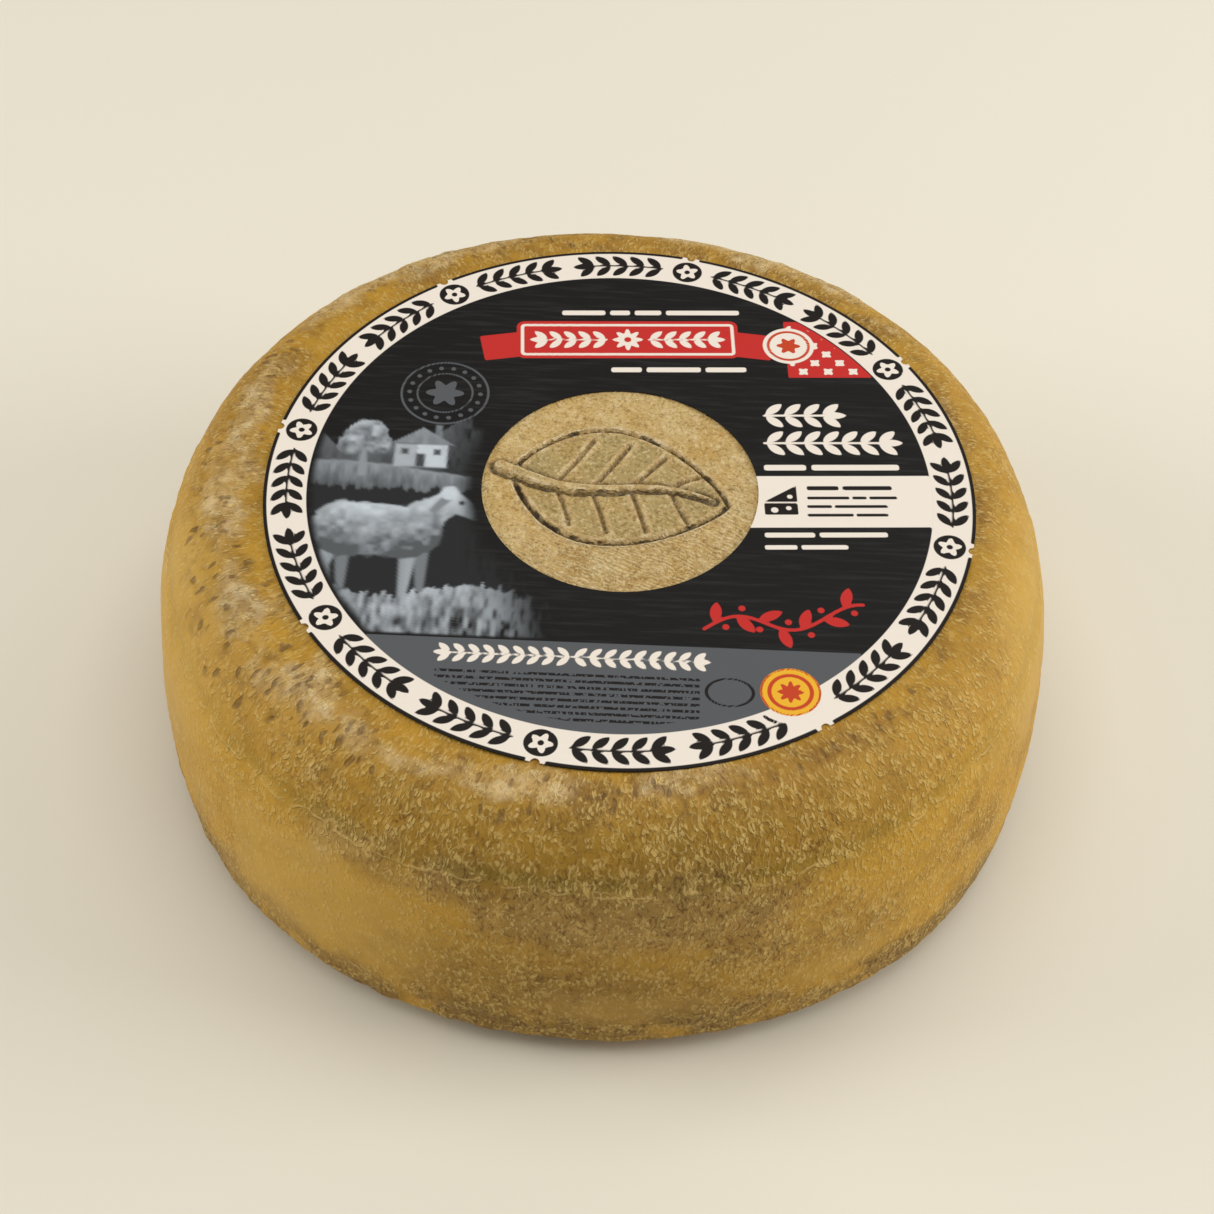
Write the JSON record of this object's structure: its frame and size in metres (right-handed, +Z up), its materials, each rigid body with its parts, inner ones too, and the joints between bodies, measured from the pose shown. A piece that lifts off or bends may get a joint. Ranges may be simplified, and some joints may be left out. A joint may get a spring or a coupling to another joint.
{
  "type": "cheese wheel",
  "caption": "Whole round cheese wheel with a natural rind, bulging sides and a ring-shaped printed paper label on top.",
  "frame": {"origin": "middle of the base, where the wheel rests", "axes": "+Z up through the labelled face, -Y towards the front of the label's print, +X to its right"},
  "size_m": [0.258, 0.2576, 0.0926],
  "materials": {
    "rind": "matte",
    "label_paper": "satin"
  },
  "bodies": {
    "root": {"cheese_wheel": "rind", "paper_label": "label_paper"}
  },
  "joints": []
}
